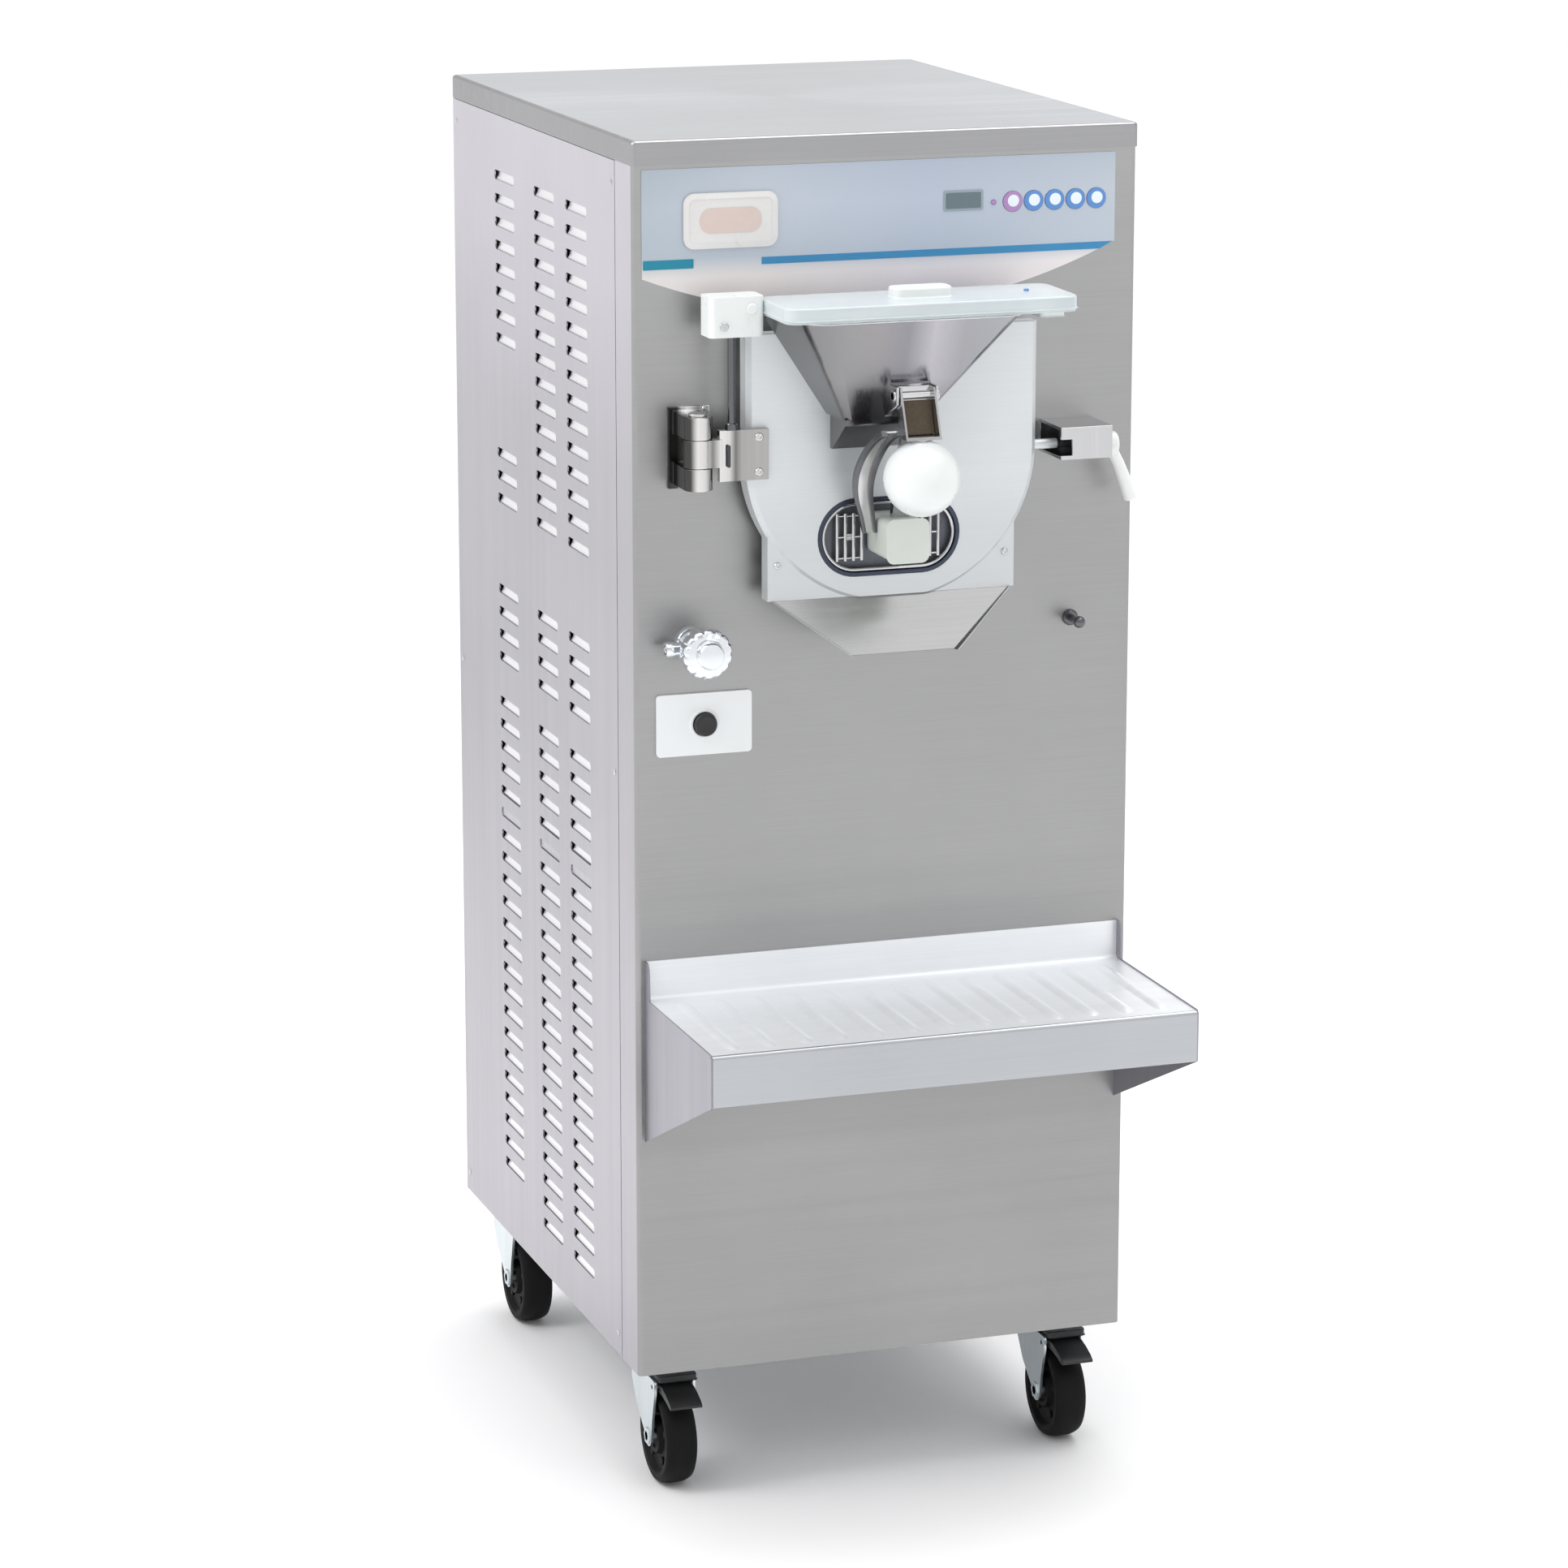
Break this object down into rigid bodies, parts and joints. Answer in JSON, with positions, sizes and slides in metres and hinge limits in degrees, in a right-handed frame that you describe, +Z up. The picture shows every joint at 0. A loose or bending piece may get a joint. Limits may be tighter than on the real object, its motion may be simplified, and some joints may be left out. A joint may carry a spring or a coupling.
{
  "type": "gelato batch freezer",
  "caption": "Floor-standing batch freezer: stainless cabinet on casters, round hinged door with hopper and extraction lever, control fascia and ribbed shelf.",
  "frame": {"origin": "centre of the bounding box's footprint, on the floor", "axes": "+Z up, the front with the door faces -Y, +X is to the viewer's right"},
  "size_m": [0.522, 0.883, 1.378],
  "materials": {
    "sheet_steel": "brushed",
    "side_steel": "brushed",
    "lid_steel": "brushed",
    "frame_steel": "zinc-plated",
    "fascia_film": "satin printed film",
    "badge": "satin",
    "keys": "satin film",
    "barrel_steel": "brushed",
    "foam": "foam",
    "blade_plastic": "satin",
    "pulley_iron": "machined",
    "belt_rubber": "matte",
    "motor_paint": "painted",
    "compressor_paint": "painted",
    "condenser_aluminium": "finned",
    "fan_plastic": "matte",
    "electrical_grey": "matte",
    "door_satin": "fine satin",
    "gasket_rubber": "matte",
    "polished_steel": "polished",
    "hopper_steel": "polished",
    "clear_lid": "translucent",
    "white_nylon": "smooth",
    "hinge_steel": "satin",
    "grip_plastic": "smooth",
    "tap_chrome": "polished",
    "switch_white": "smooth",
    "black_plastic": "smooth",
    "brass": "machined",
    "zinc": "zinc-plated",
    "wheel_rubber": "smooth"
  },
  "bodies": {
    "cabinet": {"chassis_frame": "frame_steel", "front_panel": "sheet_steel", "side_panel_left": "side_steel", "side_panel_right": "side_steel", "rear_panel": "side_steel", "top_lid": "lid_steel", "control_fascia": "fascia_film", "badge_plate": "badge", "freezing_barrel": "barrel_steel", "barrel_insulation": "foam", "drive_motor": "motor_paint", "drive_belt": "belt_rubber", "compressor": "compressor_paint", "condenser_unit": "condenser_aluminium", "electrical_box": "electrical_grey", "hinge_bracket": "hinge_steel", "hinge_pin": "polished_steel", "latch_housing": "hinge_steel", "tap_body": "tap_chrome", "switch_plate": "switch_white", "hose_hook": "hinge_steel", "shelf": "sheet_steel", "rear_fittings": "brass", "caster_plates": "zinc"},
    "beater_rotor": {"beater": "barrel_steel", "scraper_blades": "blade_plastic", "beater_pulley": "pulley_iron"},
    "motor_rotor": {"motor_pulley": "pulley_iron"},
    "fan": {"condenser_fan": "fan_plastic"},
    "door": {"door_body": "door_satin", "door_gasket": "gasket_rubber", "outlet_grille": "polished_steel", "hopper": "hopper_steel", "drip_chute": "sheet_steel", "hinge_arm": "hinge_steel", "lid_rod": "polished_steel", "lever_bracket": "polished_steel"},
    "lid": {"hopper_lid": "clear_lid", "lid_hinge_block": "white_nylon"},
    "lever": {"extraction_lever": "polished_steel", "ball_knob": "white_nylon", "gate_plug": "blade_plastic"},
    "latch": {"latch_handle": "grip_plastic"},
    "tap": {"tap_knob": "tap_chrome"},
    "button": {"push_button": "black_plastic"},
    "key_1": {"key_1": "keys"},
    "key_2": {"key_2": "keys"},
    "key_3": {"key_3": "keys"},
    "key_4": {"key_4": "keys"},
    "key_5": {"key_5": "keys"},
    "fork_front_left": {"caster_fork_front_left": "zinc"},
    "wheel_front_left": {"caster_wheel_front_left": "wheel_rubber"},
    "fork_front_right": {"caster_fork_front_right": "zinc"},
    "wheel_front_right": {"caster_wheel_front_right": "wheel_rubber"},
    "fork_rear_left": {"caster_fork_rear_left": "zinc"},
    "wheel_rear_left": {"caster_wheel_rear_left": "wheel_rubber"},
    "fork_rear_right": {"caster_fork_rear_right": "zinc"},
    "wheel_rear_right": {"caster_wheel_rear_right": "wheel_rubber"},
    "pedal_left": {"brake_pedal_left": "black_plastic"},
    "pedal_right": {"brake_pedal_right": "black_plastic"}
  },
  "joints": [
    {"name": "door_hinge", "type": "hinge", "parent": "cabinet", "child": "door", "pos_m": [-0.207, -0.2665, 1.08], "axis": [0, 0, -1], "range_deg": [0, 110]},
    {"name": "lid_swing", "type": "hinge", "parent": "door", "child": "lid", "pos_m": [-0.175, -0.2722, 1.21], "axis": [0, 0, -1], "range_deg": [0, 60]},
    {"name": "lever_hinge", "type": "hinge", "parent": "door", "child": "lever", "pos_m": [-0.012, -0.3405, 1.138], "axis": [-1, 0, 0], "range_deg": [0, 60]},
    {"name": "latch_turn", "type": "hinge", "parent": "cabinet", "child": "latch", "pos_m": [0.2, -0.2665, 1.066], "axis": [-1, 0, 0], "range_deg": [0, 80]},
    {"name": "tap_turn", "type": "hinge", "parent": "cabinet", "child": "tap", "pos_m": [-0.203, -0.2785, 0.885], "axis": [0, -1, 0], "range_deg": [0, 270]},
    {"name": "button_press", "type": "slide", "parent": "cabinet", "child": "button", "axis": [0, 1, 0], "range_m": [0, 0.004], "stiffness_N_per_m": 400},
    {"name": "beater_spin", "type": "hinge", "parent": "cabinet", "child": "beater_rotor", "pos_m": [-0.008, -0.2285, 1.07], "axis": [0, 1, 0], "continuous": true},
    {"name": "motor_spin", "type": "hinge", "parent": "cabinet", "child": "motor_rotor", "pos_m": [-0.008, 0.2515, 0.79], "axis": [0, 1, 0], "continuous": true},
    {"name": "fan_spin", "type": "hinge", "parent": "cabinet", "child": "fan", "pos_m": [0.03, 0.3495, 0.335], "axis": [0, 1, 0], "continuous": true},
    {"name": "key_1_press", "type": "slide", "parent": "cabinet", "child": "key_1", "axis": [0, 1, 0], "range_m": [0, 0.0006], "stiffness_N_per_m": 300},
    {"name": "key_2_press", "type": "slide", "parent": "cabinet", "child": "key_2", "axis": [0, 1, 0], "range_m": [0, 0.0006], "stiffness_N_per_m": 300},
    {"name": "key_3_press", "type": "slide", "parent": "cabinet", "child": "key_3", "axis": [0, 1, 0], "range_m": [0, 0.0006], "stiffness_N_per_m": 300},
    {"name": "key_4_press", "type": "slide", "parent": "cabinet", "child": "key_4", "axis": [0, 1, 0], "range_m": [0, 0.0006], "stiffness_N_per_m": 300},
    {"name": "key_5_press", "type": "slide", "parent": "cabinet", "child": "key_5", "axis": [0, 1, 0], "range_m": [0, 0.0006], "stiffness_N_per_m": 300},
    {"name": "swivel_front_left", "type": "hinge", "parent": "cabinet", "child": "fork_front_left", "pos_m": [-0.212, -0.1435, 0.12], "axis": [0, 0, 1], "continuous": true},
    {"name": "roll_front_left", "type": "hinge", "parent": "fork_front_left", "child": "wheel_front_left", "pos_m": [-0.212, -0.1735, 0.05], "axis": [1, 0, 0], "continuous": true},
    {"name": "swivel_front_right", "type": "hinge", "parent": "cabinet", "child": "fork_front_right", "pos_m": [0.212, -0.1435, 0.12], "axis": [0, 0, 1], "continuous": true},
    {"name": "roll_front_right", "type": "hinge", "parent": "fork_front_right", "child": "wheel_front_right", "pos_m": [0.212, -0.1735, 0.05], "axis": [1, 0, 0], "continuous": true},
    {"name": "swivel_rear_left", "type": "hinge", "parent": "cabinet", "child": "fork_rear_left", "pos_m": [-0.212, 0.3815, 0.12], "axis": [0, 0, 1], "continuous": true},
    {"name": "roll_rear_left", "type": "hinge", "parent": "fork_rear_left", "child": "wheel_rear_left", "pos_m": [-0.212, 0.3515, 0.05], "axis": [1, 0, 0], "continuous": true},
    {"name": "swivel_rear_right", "type": "hinge", "parent": "cabinet", "child": "fork_rear_right", "pos_m": [0.212, 0.3815, 0.12], "axis": [0, 0, 1], "continuous": true},
    {"name": "roll_rear_right", "type": "hinge", "parent": "fork_rear_right", "child": "wheel_rear_right", "pos_m": [0.212, 0.3515, 0.05], "axis": [1, 0, 0], "continuous": true},
    {"name": "pedal_left_press", "type": "hinge", "parent": "fork_front_left", "child": "pedal_left", "pos_m": [-0.212, -0.1875, 0.107], "axis": [1, 0, 0], "range_deg": [0, 8], "stiffness_Nm_per_rad": 1},
    {"name": "pedal_right_press", "type": "hinge", "parent": "fork_front_right", "child": "pedal_right", "pos_m": [0.212, -0.1875, 0.107], "axis": [1, 0, 0], "range_deg": [0, 8], "stiffness_Nm_per_rad": 1}
  ],
  "couplings": [
    {"joint": "motor_spin", "follows": "beater_spin", "ratio": 3}
  ]
}
